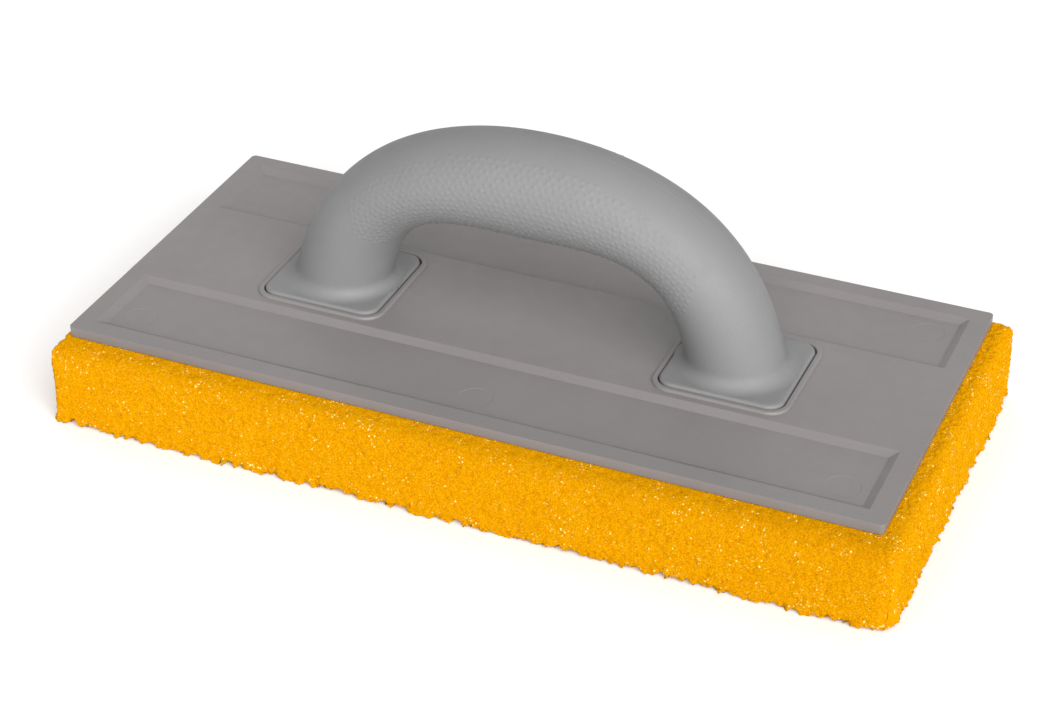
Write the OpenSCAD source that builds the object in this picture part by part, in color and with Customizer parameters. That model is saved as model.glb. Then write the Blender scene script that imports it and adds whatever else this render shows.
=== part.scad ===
// Sponge grout float: a coarse sponge pad glued under a panelled plastic backing plate,
// with a hollow arched handle of two welded half shells, screwed on from below.
// Millimetres. +Z is up, +X runs along the float. The origin is the middle of the sponge's underside.

/* [Sponge pad] */
// Length of the sponge
sponge_l = 280; // [240:1:320]
// Width of the sponge
sponge_w = 138; // [130:1:170]
// Thickness of the sponge
sponge_h = 27.3; // [15:0.1:45]
// Corner radius of the sponge, seen from above
sponge_corner_r = 1.5; // [1:0.5:10]

/* [Adhesive film] */
// Thickness of the glue line between the sponge and the plate
film_t = 0.4; // [0.2:0.1:1]
// How far the glue stops short of the plate's edge
film_inset = 1; // [0.5:0.5:4]

/* [Backing plate] */
// Length of the plate
plate_l = 271.5; // [240:0.5:300]
// Width of the plate
plate_w = 126.7; // [115:0.1:150]
// Thickness of the plate's border and middle strip
plate_t = 3.4; // [3:0.1:6]
// Corner radius of the plate
plate_corner_r = 1.5; // [0.5:0.1:4]
// How far the plate sits off the middle of the sponge, along X
plate_dx = -2.7; // [-4:0.1:4]
// How far the plate sits off the middle of the sponge, along Y
plate_dy = 3.9; // [-5:0.1:5]

/* [Recessed panels] */
// Border between a panel and the plate's edge
panel_border = 6.2; // [4:0.1:12]
// Width of the raised strip between the two panels
strip_w = 49.8; // [48.5:0.1:60]
// Depth of a panel's floor below the border
panel_depth = 1.5; // [0.5:0.1:2]
// Width of a panel's sloping walls, seen from above
panel_slope = 2.8; // [1:0.1:4]

/* [Handle sockets] */
// Distance between the middles of the two sockets
socket_span = 138; // [130:0.5:150]
// Outer size of a socket's raised rim
rim_size = 45.4; // [45.2:0.1:48]
// Width of the rim
rim_w = 2; // [1.6:0.1:2.2]
// Height of the rim above the plate
rim_h = 0.9; // [0.5:0.1:2]
// Outer corner radius of the rim
rim_corner_r = 7; // [5:0.5:10]
// Depth of the socket's floor below the plate's top
socket_depth = 1; // [0.5:0.1:1.4]
// Gap between a foot and its rim
foot_gap = 0.4; // [0.2:0.1:0.6]

/* [Handle] */
// Height of the grip's centreline above the plate
grip_rise = 49.8; // [45:0.1:60]
// How far a leg leans inwards over the height that its curve starts with
leg_lean = 8.4; // [4:0.1:12]
// Height over which a leg stays nearly straight: it sets how square the arch's shoulders are
leg_rise = 46.3; // [30:0.1:52]
// Half length of the nearly flat middle of the grip
grip_flat = 28.8; // [15:0.1:40]
// Half thickness of the grip, along the arch's plane
grip_r = 16.8; // [14:0.1:18]
// Half thickness at the shoulders, along the arch's plane
shoulder_r = 13.9; // [12:0.1:16]
// Distance of the shoulders, where the handle is slimmest, from the arch's middle
shoulder_x = 50; // [40:0.5:56]
// Half thickness of a leg at its foot, along the arch's plane
leg_r = 15.9; // [14.5:0.1:16]
// Half depth of the grip, front to back
grip_depth_r = 17; // [14:0.1:18]
// Half depth of a leg at its foot, front to back
leg_depth_r = 15.6; // [15:0.1:16.5]
// Wall thickness of the half shells
shell_t = 2.6; // [2:0.1:4]
// Thickness of a foot
foot_t = 2.7; // [2:0.1:4]
// Radius of the fillet between a leg and its foot
foot_fillet = 4; // [2:0.5:4]

/* [Screws] */
// Distance of a screw from the seam between the half shells
screw_dy = 9.4; // [9:0.1:10]
// Screw length
screw_l = 14; // [10:0.5:14]
// Thread radius
screw_r = 1.9; // [1.5:0.1:2]
// Core radius
screw_core_r = 1.5; // [1.2:0.1:1.5]
// Head radius
screw_head_r = 3.6; // [3:0.1:4]
// Head height
screw_head_h = 1.8; // [1.4:0.1:2]
// Thread pitch
screw_pitch = 1.5; // [1:0.1:2]
// Outer radius of a screw boss
boss_r = 4.2; // [3.5:0.1:4.3]
// Height of a screw boss above the plate
boss_h = 14; // [13:0.5:16]

/* [Hidden] */
$fn = 64;

plate_z = sponge_h + film_t;
plate_top = plate_z + plate_t;
panel_l = plate_l - 2 * panel_border;
panel_w = plate_w / 2 - panel_border - strip_w / 2;
panel_y = strip_w / 2 + panel_w / 2;
socket_size = rim_size - 2 * rim_w;
foot_size = socket_size - 2 * foot_gap;
foot_x = socket_span / 2;
foot_corner_r = rim_corner_r - rim_w - foot_gap;
foot_top = foot_t - socket_depth;
foot_hole_r = leg_depth_r - shell_t - 1;
// The screws: play in the plate, the cross recess in a head, the plain neck and the tip.
screw_clearance = 0.3;
head_clearance = 0.1;
cross_l = 3.6;
cross_w = 0.9;
cross_d = 1.1;
neck_l = 1;
tip_l = 2;
tip_r = 0.4;
pilot_r = screw_core_r + 0.1;
pilot_depth = screw_l - (plate_t - socket_depth) + 1;
// How far a cutting shape runs past the face that it cuts.
margin = 1;
// Thickness of the sheets that a hull is stretched between.
thin = 0.01;

// The handle's sweep: rings per half arch, how much closer they stand near a foot, points on each
// half round, and a start below the foot.
half_rings = 30;
ring_crowding = 1.5;
round_steps = 16;
start_s = -0.035;

// ---- Shared shapes -------------------------------------------------------------------------------

// A rectangle with round corners, centred on the origin.
module rounded_rect(l, w, r) {
    square([l - 2 * r, w], center = true);
    square([l, w - 2 * r], center = true);
    for (sx = [-1, 1], sy = [-1, 1])
        translate([sx * (l / 2 - r), sy * (w / 2 - r)]) circle(r);
}

module rounded_slab(l, w, r, h) {
    linear_extrude(h) rounded_rect(l, w, r);
}

// Moves from the plate's middle, level with the plate's top, to the part's frame.
module on_plate() {
    translate([plate_dx, plate_dy, plate_top]) children();
}

// Repeats a child at both feet.
module at_feet() {
    for (side = [-1, 1]) translate([side * foot_x, 0, 0]) children();
}

// ---- Sponge, glue and plate ----------------------------------------------------------------------

module sponge_pad() {
    color("#f5a81c") rounded_slab(sponge_l, sponge_w, sponge_corner_r, sponge_h);
}

module adhesive_film() {
    color("#d9cfa0")
        translate([plate_dx, plate_dy, sponge_h])
            rounded_slab(plate_l - 2 * film_inset, plate_w - 2 * film_inset, plate_corner_r, film_t);
}

// One recessed panel with sloping walls, as the space it takes out of the plate.
module panel_recess() {
    hull()
        for (out = [-1, 1])
            translate([0, 0, out * panel_depth])
                linear_extrude(thin)
                    square([panel_l, panel_w] + 2 * out * [panel_slope, panel_slope], center = true);
}

// A countersunk clearance hole for one handle screw, measured from the plate's top.
module screw_hole() {
    translate([0, 0, -plate_t - margin])
        cylinder(h = plate_t + 2 * margin, r = screw_r + screw_clearance);
    translate([0, 0, -plate_t])
        cylinder(h = screw_head_h, r1 = screw_head_r + head_clearance, r2 = screw_r + screw_clearance);
}

module backing_plate() {
    color("#8e8a86")
        on_plate()
            difference() {
                union() {
                    translate([0, 0, -plate_t]) rounded_slab(plate_l, plate_w, plate_corner_r, plate_t);
                    at_feet() rounded_slab(rim_size, rim_size, rim_corner_r, rim_h);
                }
                for (side = [-1, 1]) translate([0, side * panel_y, 0]) panel_recess();
                at_feet()
                    translate([0, 0, -socket_depth])
                        rounded_slab(socket_size, socket_size, rim_corner_r - rim_w, plate_t);
                at_feet() for (side = [-1, 1]) translate([0, side * screw_dy, 0]) screw_hole();
            }
}

// ---- Handle --------------------------------------------------------------------------------------

// The arch's centreline over the plate: a cubic curve from the foot, s = 0, to the crown, s = 1.
function arch_control() = [
    [foot_x, 0], [foot_x - leg_lean, leg_rise], [grip_flat, grip_rise], [0, grip_rise]
];
function arch_point(s) =
    let (p = arch_control(), q = 1 - s)
    q * q * q * p[0] + 3 * q * q * s * p[1] + 3 * q * s * s * p[2] + s * s * s * p[3];
function arch_slope(s) =
    let (p = arch_control(), q = 1 - s)
    q * q * (p[1] - p[0]) + 2 * q * s * (p[2] - p[1]) + s * s * (p[3] - p[2]);
// The direction that points out of the arch, across the centreline.
function arch_out(s) = let (t = arch_slope(s)) [t[1], -t[0]] / norm(t);

// Half thickness along the arch's plane: full in the grip, slim at the shoulders, wider at the foot.
function arch_r(s) =
    let (x = arch_point(s)[0])
    x < shoulder_x
        ? shoulder_r + (grip_r - shoulder_r) * pow(cos(90 * x / shoulder_x), 2)
        : shoulder_r + (leg_r - shoulder_r) * pow((x - shoulder_x) / (foot_x - shoulder_x), 2);
function arch_depth_r(s) = leg_depth_r + (grip_depth_r - leg_depth_r) * pow(sin(90 * max(0, s)), 2);
// What the fillet adds to a leg at a height near its foot.
function foot_flare(z) =
    let (h = max(0, min(foot_fillet, z - foot_top)))
    foot_fillet - sqrt(foot_fillet * foot_fillet - pow(foot_fillet - h, 2));

// A half round across the arch at s, from the seam under the arch to the seam on its back.
function half_round(s, inset, fillet) = [
    for (i = [0:round_steps])
        let (
            turn = 180 * i / round_steps - 90,
            c = arch_point(s),
            out = arch_out(s),
            r = arch_r(s) - inset,
            z = c[1] + r * sin(turn) * out[1],
            grow = fillet ? foot_flare(z) : 0,
            across = (r + grow) * sin(turn),
            depth = (arch_depth_r(s) - inset + grow) * cos(turn)
        )
        [c[0] + across * out[0], -depth, c[1] + across * out[1]]
];
function reversed(list) = [for (i = [len(list) - 1:-1:0]) list[i]];
function mirrored_x(list) = [for (p = list) [-p[0], p[1], p[2]]];

// One ring of the front half shell: the outer half round, then the inner one back again.
function shell_ring(s) = concat(half_round(s, 0, true), reversed(half_round(s, shell_t, false)));
function half_shell_rings() = [
    for (i = [0:half_rings]) shell_ring(start_s + (1 - start_s) * pow(i / half_rings, ring_crowding))
];
// The rings over the whole arch, from the right foot to the left one.
function shell_rings() =
    let (half = half_shell_rings())
    concat(half, [for (i = [half_rings - 1:-1:0]) mirrored_x(half[i])]);

module swept_half_shell() {
    rings = shell_rings();
    n = len(rings[0]);
    last = len(rings) - 1;
    sides = [
        for (i = [0:last - 1], j = [0:n - 1])
            let (a = i * n + j, b = i * n + (j + 1) % n)
            each [[a, b + n, b], [a, a + n, b + n]]
    ];
    first_end = [for (j = [0:round_steps - 1]) [j, j + 1, n - 2 - j, n - 1 - j]];
    last_end = [for (j = [0:round_steps - 1]) [for (k = reversed(first_end[j])) last * n + k]];
    polyhedron([for (ring = rings) each ring], concat(first_end, sides, last_end));
}

// The front half of a foot, with the leg's hollow cut through it.
module half_foot() {
    difference() {
        translate([0, 0, -socket_depth]) rounded_slab(foot_size, foot_size, foot_corner_r, foot_t);
        translate([0, 0, -socket_depth - margin])
            cylinder(h = foot_t + 2 * margin, r = foot_hole_r);
        translate([-foot_size, 0, -foot_size]) cube(2 * foot_size);
    }
}

module screw_boss() {
    translate([0, -screw_dy, -socket_depth])
        difference() {
            cylinder(h = boss_h + socket_depth, r = boss_r);
            translate([0, 0, -margin]) cylinder(h = pilot_depth + margin, r = pilot_r);
        }
}

module front_shell() {
    intersection() {
        swept_half_shell();
        translate([-plate_l / 2, -plate_w, -socket_depth]) cube([plate_l, plate_w, plate_w]);
    }
    at_feet() half_foot();
    at_feet() screw_boss();
}

module handle_front_shell() {
    color("#9fa2a2") on_plate() front_shell();
}

module handle_back_shell() {
    color("#9fa2a2") on_plate() mirror([0, 1, 0]) front_shell();
}

// ---- Screws --------------------------------------------------------------------------------------

// One turn of the thread, as a ring that rises to its crest and falls back to the core.
module thread_turn() {
    cylinder(h = screw_pitch / 2, r1 = screw_core_r, r2 = screw_r);
    translate([0, 0, screw_pitch / 2]) cylinder(h = screw_pitch / 2, r1 = screw_r, r2 = screw_core_r);
}

// A countersunk self-tapping screw, head down, with its head's face at z = 0.
module screw() {
    thread_start = screw_head_h + neck_l;
    turns = floor((screw_l - tip_l - thread_start) / screw_pitch);
    difference() {
        union() {
            cylinder(h = screw_head_h, r1 = screw_head_r, r2 = screw_core_r);
            cylinder(h = screw_l - tip_l, r = screw_core_r);
            translate([0, 0, screw_l - tip_l]) cylinder(h = tip_l, r1 = screw_core_r, r2 = tip_r);
            for (i = [0:turns - 1]) translate([0, 0, thread_start + i * screw_pitch]) thread_turn();
        }
        for (turn = [0, 90])
            rotate(turn) cube([cross_l, cross_w, 2 * cross_d], center = true);
    }
}

module handle_screws() {
    color("#b8bcc0")
        on_plate()
            at_feet()
                for (side = [-1, 1]) translate([0, side * screw_dy, -plate_t]) screw();
}

sponge_pad();
adhesive_film();
backing_plate();
handle_front_shell();
handle_back_shell();
handle_screws();
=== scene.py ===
"""The looks of the sponge grout float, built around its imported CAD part.

Shapes are worked out in millimetres, in the part's own frame. They become metres as each mesh is made.
"""

import math
import random

import bmesh
import bpy
import numpy as np
from mathutils import Matrix, Vector, noise


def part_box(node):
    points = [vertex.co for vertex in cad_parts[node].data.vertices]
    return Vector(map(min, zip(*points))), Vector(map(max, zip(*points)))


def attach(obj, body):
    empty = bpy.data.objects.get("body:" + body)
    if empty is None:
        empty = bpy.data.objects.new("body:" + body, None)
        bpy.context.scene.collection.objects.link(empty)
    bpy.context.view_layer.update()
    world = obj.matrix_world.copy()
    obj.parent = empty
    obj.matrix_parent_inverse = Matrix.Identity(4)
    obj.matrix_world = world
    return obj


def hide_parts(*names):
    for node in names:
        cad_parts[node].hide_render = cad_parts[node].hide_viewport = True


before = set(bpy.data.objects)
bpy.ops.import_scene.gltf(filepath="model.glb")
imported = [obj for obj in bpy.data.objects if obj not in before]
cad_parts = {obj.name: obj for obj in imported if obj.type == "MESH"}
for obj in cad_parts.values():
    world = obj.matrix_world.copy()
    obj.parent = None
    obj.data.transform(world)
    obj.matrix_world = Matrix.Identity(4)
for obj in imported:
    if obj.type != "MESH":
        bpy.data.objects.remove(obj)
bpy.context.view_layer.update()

METRES = 0.001

# ---- Sizes from the CAD part, in millimetres ----


def box_mm(node):
    """The lowest and highest corner of a CAD node, in millimetres."""
    low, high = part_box(node)
    return np.array(low) / METRES, np.array(high) / METRES


SPONGE_LOW, SPONGE_HIGH = box_mm("sponge_pad")
FILM_LOW, FILM_HIGH = box_mm("adhesive_film")
PLATE_LOW, PLATE_HIGH = box_mm("backing_plate")
SPONGE_SIZE = SPONGE_HIGH - SPONGE_LOW

RIM_HEIGHT = 0.9
SOCKET_DEPTH = 1.0
PLATE_TOP = PLATE_HIGH[2] - RIM_HEIGHT
PLATE_BOTTOM = PLATE_LOW[2]
PLATE_X, PLATE_Y = (PLATE_LOW[:2] + PLATE_HIGH[:2]) / 2
PLATE_LENGTH, PLATE_WIDTH = PLATE_HIGH[:2] - PLATE_LOW[:2]

# ---- Plate details: as in the CAD part, with rounded edges and ejector marks added ----

PLATE_CORNER = 1.5
PANEL_BORDER = 6.2
STRIP_WIDTH = 49.8
PANEL_DEPTH = 1.5
PANEL_SLOPE = 2.8
SOCKET_SPAN = 138.0
RIM_SIZE = 45.4
RIM_WIDTH = 2.0
RIM_CORNER = 7.0
SCREW_OFFSET = 9.4
SCREW_HOLE_RADIUS = 2.2
SCREW_HEAD_RADIUS = 3.7
SCREW_HEAD_HEIGHT = 1.8
PLATE_EDGE_ROUND = 0.7
PLATE_EDGE_STEPS = 6
# The rounding leaves edges flatter than this as they are, in degrees.
PLATE_EDGE_ANGLE = 20
# How deep a rim's bead is rooted in the plate.
RIM_ROOT = 2.0
RIM_OUTER_ROUND = 0.8
RIM_INNER_ROUND = 0.5
EJECTOR_RADIUS = 5.5
EJECTOR_SLOPE = 0.15
EJECTOR_DEPTH = 0.12
EJECTOR_SPACING = 118.5
EJECTOR_ROWS = (-47.2, 45.8)
ROUND_STEPS = 6
CORNER_STEPS = 12
PLATE_CORNER_STEPS = 6
HOLE_STEPS = 32
EJECTOR_STEPS = 64
# How far a cutting shape runs past the face that it cuts, and how high a screw hole's shape reaches.
CUT_CLEAR = 1.0
HOLE_REACH = 4.0
# Edges sharper than this are shaded as edges, in degrees.
PLATE_SHARP_ANGLE = 16.5
SHARP_ANGLE = 40
FILM_SHARP_ANGLE = 50

# ---- Handle: as in the CAD part, but for a closer gap and softer corners at the feet ----

FOOT_X = SOCKET_SPAN / 2
# The sockets stand a little right of the plate's middle; the feet lean on their front walls.
HANDLE_X = PLATE_X + 0.5
HANDLE_Y = PLATE_Y - 0.25
FOOT_GAP = 0.3
FOOT_HALF = RIM_SIZE / 2 - RIM_WIDTH - FOOT_GAP
FOOT_CORNER = 5.4
FOOT_TOP = 1.7
FOOT_FILLET = 4.0
FOOT_EDGE = 1.0
FOOT_CHAMFER = 0.3
FOOT_HOLE = 12.0
FOOT_EDGE_ROWS = 5
FILLET_ROWS = 6
# Height over which the leg's sections turn from level to square on to the arch.
SECTION_TURN = 16.0
GRIP_RISE = 49.8
LEG_LEAN = 8.4
LEG_RISE = 46.3
GRIP_FLAT = 28.8
GRIP_R = 16.8
SHOULDER_R = 13.9
SHOULDER_X = 50.0
LEG_R = 15.9
GRIP_DEPTH_R = 17.0
LEG_DEPTH_R = 15.6
SHELL = 2.6
SEAM_BREAK = 0.08
BOSS_RADIUS = 4.2
BOSS_HEIGHT = 14.0
PILOT_RADIUS = 1.6
PILOT_DEPTH = 12.6

# ---- Screws: as in the CAD part, but with a helical thread ----

SCREW_LENGTH = 14.0
SCREW_HEAD = 3.6
SCREW_HEAD_RIM = 0.1
SCREW_CORE = 1.5
SCREW_THREAD = 1.9
SCREW_TIP = 2.0
SCREW_POINT = 0.4
SCREW_NOSE = 0.2
THREAD_START = 2.8
THREAD_PITCH = 1.5
# Half the width of the thread's ridge, as a share of its pitch.
THREAD_RIDGE = 0.3
THREAD_ROWS = 8
SCREW_STEPS = 32
CROSS_LENGTH = 3.6
CROSS_WIDTH = 0.9
CROSS_DEPTH = 1.1
CROSS_TAPER = 0.7
CROSS_CLEAR = 0.5

# ---- Pebbled grip ----

# Half length along the arch, angles of the upper and lower borders at the crown, how much the upper
# border drops towards the shoulders, and the pebbles themselves.
GRIP_ZONE = 65.0
GRIP_UPPER = 54.0
GRIP_LOWER = -60.0
GRIP_UPPER_DROP = 0.0075
GRIP_END_ROUND = 9.0
PEBBLE_PITCH = 2.4
PEBBLE_RADIUS = 0.78
PEBBLE_HEIGHT = 0.24
# How far a pebble strays, how much lower it may be, and the waves that make them differ.
PEBBLE_JITTER = 0.32
PEBBLE_UNEVEN = 0.3
PEBBLE_WAVES = (7.3, 5.1)
# Grid of the handle's outer skin: rows in a leg and the grip, and columns below, in and above the grip.
LEG_ROWS = 38
GRIP_ROWS = 172
LOWER_COLUMNS = 10
GRIP_COLUMNS = 95
UPPER_COLUMNS = 16
GRID_MARGIN = 2
# The inner skin has one column for this many of the outer skin's.
INNER_EVERY = 4
CURVE_SAMPLES = 4001
LEG_SAMPLES = 2001
# Keeps the leg's inner rows above the top of the foot's hole.
INNER_LIFT = 0.05

# ---- Sponge ----

SPONGE_CORNER = 1.5
# How round the foam's top edge is at the left, right, front and back: the plate guards two of them.
SPONGE_TOP_ROUND = np.array((1.3, 4.0, 4.6, 1.5))
SPONGE_BOTTOM_ROUND = 0.6
# The front right corner is the most worn: how far the wear goes in, and how far it reaches.
WORN_DEPTH = 1.2
WORN_REACH = 6.0
WORN_BOTTOM_ROUND = 1.2
WORN_BOTTOM_REACH = 14.0
# The foam's mesh: points round it, height between its rings, how many of the points a fine, a medium or
# a coarse ring uses (every one, second or fourth), and how near the middle the last rings come.
SPONGE_POINTS = 1216
SPONGE_STEP = 0.69
FINE, MEDIUM, COARSE = 1, 2, 4
MIDDLE_GAP = 1.0
COARSE_TOP_RINGS = 7
COARSE_TOP_FROM = 6.0
MEDIUM_TOP = (4, 2)
FINE_TOP_RINGS = 10
TOP_ROUND_RINGS = 9
BOTTOM_ROUND_RINGS = 5
MEDIUM_UNDER_TO = 18.0
COARSE_UNDER_FROM = 19.5
COARSE_UNDER_RINGS = 22
# How far the foam's fine skin reaches under the plate, and the flat band beside the plate's edge.
UNDER_PLATE = 1.6
BARE_BAND = 0.6
# The foam's texture: the size of its granules, grains, pits and lumps, and how much each of them adds.
GRANULE = 1.3
GRANULE_HEIGHT = 0.75
GRANULE_MIDDLE = 0.45
GRAIN = 0.8
GRAIN_HEIGHT = 0.28
PIT = 2.2
PIT_PLACE = Vector((31, 17, 5))
PIT_START = 0.25
PIT_WALL = 0.3
PIT_DEPTH = 0.45
LUMP = 9.0
LUMP_HEIGHT = 0.25
FOAM_SWELL = 0.15
# The foam's depth for its painted pore shade: the share at no height, and how much a millimetre adds.
DEPTH_MIDDLE = 0.6
DEPTH_PER_MM = 0.6
# Lifts the underside so that only its highest grains touch the floor.
FLOOR_LIFT = 0.5
# The bottom edge: how high up it is rougher, how much rougher, and how far it spreads out.
EDGE_REACH = 4.0
EDGE_RAGGED = 1.5
EDGE_SPREAD = 0.7
# Bites torn out of the edges: number, share at the bottom, radius, and depth as a share of the radius.
TEARS = 420
TEARS_BELOW = 0.85
TEAR_RADIUS = (0.7, 2.5)
TEAR_DEPTH = 0.7
SEED = 7

# ---- Glue film ----

# How far the film's edge wanders, over what distance, and how much its three layers are drawn in.
FILM_WANDER = 0.45
FILM_WAVE = 5.0
FILM_LAYERS = ((0.0, 0.5), (0.5, 0.0), (1.0, 0.4))

# ---- Plastics: linear colour, size and depth of the grain, lowest and highest roughness ----

PLATE_COLOUR = (0.200, 0.185, 0.183)
PLATE_GRAIN = (0.22, 0.03)
PLATE_ROUGHNESS = (0.39, 0.51)
HANDLE_COLOUR = (0.19, 0.19, 0.19)
HANDLE_GRAIN = (0.3, 0.02)
HANDLE_ROUGHNESS = (0.55, 0.68)


# ---- Mesh helpers ----


def add_object(name, data):
    """Puts a new object in the scene, with its mesh, lamp or lens."""
    made = bpy.data.objects.new(name, data)
    bpy.context.scene.collection.objects.link(made)
    return made


def mesh_object(name, points, faces):
    """A mesh in the scene, from points in millimetres."""
    mesh = bpy.data.meshes.new(name)
    mesh.from_pydata((np.asarray(points) * METRES).tolist(), [], faces)
    return add_object(name, mesh)


def make_piece(name, points, faces):
    """A piece of the float from points in millimetres, riding on its one body."""
    piece = mesh_object(name, points, faces)
    piece.data.validate()
    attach(piece, "root")
    return piece


def grid_faces(grid, flip=False):
    """Quads between neighbouring rows of a 2-D array of point numbers."""
    a, b = grid[:-1, :-1], grid[:-1, 1:]
    c, d = grid[1:, 1:], grid[1:, :-1]
    order = (a, d, c, b) if flip else (a, b, c, d)
    return np.stack([corner.ravel() for corner in order], axis=1).tolist()


def flipped(faces):
    """The same faces, looking the other way."""
    return [face[::-1] for face in faces]


def fan_faces(fine, coarse, flip=False):
    """Triangles between a fine row of points and a coarse one that has every few of its steps."""
    ratio = (len(fine) - 1) // (len(coarse) - 1)
    faces = []
    for i in range(len(coarse) - 1):
        start = i * ratio
        middle = start + ratio // 2
        for j in range(start, start + ratio):
            faces.append([fine[j], fine[j + 1], coarse[i] if j < middle else coarse[i + 1]])
        faces.append([fine[middle], coarse[i + 1], coarse[i]])
    return flipped(faces) if flip else faces


def grid_normals(points):
    """Unit normals of a grid of points, rows by columns by 3."""
    along = np.gradient(points, axis=0)
    across = np.gradient(points, axis=1)
    normals = np.cross(across, along)
    return normals / np.maximum(np.linalg.norm(normals, axis=2, keepdims=True), 1e-9)


def smoothstep(value):
    value = np.clip(value, 0, 1)
    return value * value * (3 - 2 * value)


def dress(piece, material, sharp_angle=180):
    """Gives a whole piece one material, smooth but for edges sharper than an angle in degrees."""
    piece.data.materials.clear()
    piece.data.materials.append(material)
    piece.data.shade_smooth()
    piece.data.set_sharp_from_angle(angle=math.radians(sharp_angle))


def apply_modifiers(piece):
    """Replaces a piece's mesh by its evaluated one."""
    graph = bpy.context.evaluated_depsgraph_get()
    mesh = bpy.data.meshes.new_from_object(piece.evaluated_get(graph))
    old = piece.data
    piece.modifiers.clear()
    piece.data = mesh
    bpy.data.meshes.remove(old)


def cut_or_join(piece, solid, operation):
    """Cuts a closed solid, (points, faces), out of a piece, or joins it on."""
    tool = mesh_object("tool", *solid)
    mesh = tool.data
    modifier = piece.modifiers.new(operation, "BOOLEAN")
    modifier.operation = operation
    modifier.solver = "MANIFOLD"
    modifier.object = tool
    apply_modifiers(piece)
    bpy.data.objects.remove(tool)
    bpy.data.meshes.remove(mesh)


def rectangle(x, y):
    """Corners of a rectangle from half its sides, anticlockwise."""
    return [(x, y), (-x, y), (-x, -y), (x, -y)]


def rounded_outline(length, width, corner, steps):
    """Points round a rectangle with round corners, anticlockwise."""
    points = []
    for quarter, centre in enumerate(rectangle(length / 2 - corner, width / 2 - corner)):
        for i in range(steps + 1):
            turn = math.pi / 2 * (quarter + i / steps)
            points.append((centre[0] + corner * math.cos(turn), centre[1] + corner * math.sin(turn)))
    return points


def circle_outline(radius, steps):
    turns = [2 * math.pi * i / steps for i in range(steps)]
    return [(radius * math.cos(t), radius * math.sin(t)) for t in turns]


def lofted(layers):
    """A closed solid through (outline, height) layers, bottom up, with equal numbers of points."""
    n = len(layers[0][0])
    points = [(x, y, z) for outline, z in layers for x, y in outline]
    faces = [list(range(n))[::-1], list(range(len(points) - n, len(points)))]
    for k in range(len(layers) - 1):
        base = k * n
        for i in range(n):
            j = (i + 1) % n
            faces.append([base + i, base + j, base + n + j, base + n + i])
    return points, faces


def moved(solid, x, y, z=0.0):
    points, faces = solid
    return [(px + x, py + y, pz + z) for px, py, pz in points], faces


# ---- Material helpers ----


class Paint:
    """A node material with a Principled shader, and short ways to add texture nodes."""

    def __init__(self, name):
        self.material = bpy.data.materials.new(name)
        self.material.use_nodes = True
        self.tree = self.material.node_tree
        self.shader = self.tree.nodes["Principled BSDF"]
        self.place = self.node("ShaderNodeTexCoord").outputs["Object"]

    def node(self, kind, **settings):
        made = self.tree.nodes.new(kind)
        for key, value in settings.items():
            setattr(made, key, value)
        return made

    def link(self, source, target):
        self.tree.links.new(source, target)

    def feed(self, socket, value):
        """Gives a socket another node's output, a number or a colour."""
        if isinstance(value, bpy.types.NodeSocket):
            self.link(value, socket)
        else:
            socket.default_value = (*value, 1) if isinstance(value, tuple) else value

    def texture(self, kind, size_mm, **settings):
        """A texture through the piece, whose shapes are about size_mm across."""
        made = self.node(kind, **settings)
        made.inputs["Scale"].default_value = 1 / (size_mm * METRES)
        self.link(self.place, made.inputs["Vector"])
        return made

    def noise(self, size_mm, detail=2.0, roughness=0.5):
        made = self.texture("ShaderNodeTexNoise", size_mm)
        made.inputs["Detail"].default_value = detail
        made.inputs["Roughness"].default_value = roughness
        return made.outputs["Fac"]

    def cells(self, size_mm):
        return self.texture("ShaderNodeTexVoronoi", size_mm)

    def range(self, source, low, high, to_low, to_high):
        """Maps a value between two ranges, held at the ends."""
        made = self.node("ShaderNodeMapRange")
        ends = (("From Min", low), ("From Max", high), ("To Min", to_low), ("To Max", to_high))
        for name, value in ends:
            made.inputs[name].default_value = value
        self.link(source, made.inputs["Value"])
        return made.outputs["Result"]

    def maths(self, operation, first, second):
        made = self.node("ShaderNodeMath", operation=operation)
        for socket, value in zip(made.inputs, (first, second)):
            self.feed(socket, value)
        return made.outputs["Value"]

    def ramp(self, source, stops):
        """Colours between stops of (position, linear colour)."""
        made = self.node("ShaderNodeValToRGB")
        ramp = made.color_ramp
        while len(ramp.elements) < len(stops):
            ramp.elements.new(0.5)
        for element, (position, colour) in zip(ramp.elements, stops):
            element.position = position
            element.color = (*colour, 1)
        self.link(source, made.inputs["Fac"])
        return made.outputs["Color"]

    def mix(self, share, first, second):
        made = self.node("ShaderNodeMix", data_type="RGBA")
        for number, value in ((0, share), (6, first), (7, second)):
            self.feed(made.inputs[number], value)
        return made.outputs[2]

    def bump(self, height, depth_mm, strength=1.0, under=None):
        made = self.node("ShaderNodeBump")
        made.inputs["Distance"].default_value = depth_mm * METRES
        made.inputs["Strength"].default_value = strength
        self.link(height, made.inputs["Height"])
        if under is not None:
            self.link(under, made.inputs["Normal"])
        return made.outputs["Normal"]

    def set(self, **values):
        """Sets or links the shader's own sockets; underscores stand for spaces."""
        for key, value in values.items():
            self.feed(self.shader.inputs[key.replace("_", " ")], value)


def shades(colour, *factors):
    """The same colour, darker or lighter, once for each factor."""
    return [tuple(channel * factor for channel in colour) for factor in factors]


# ---- Materials ----


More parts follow.
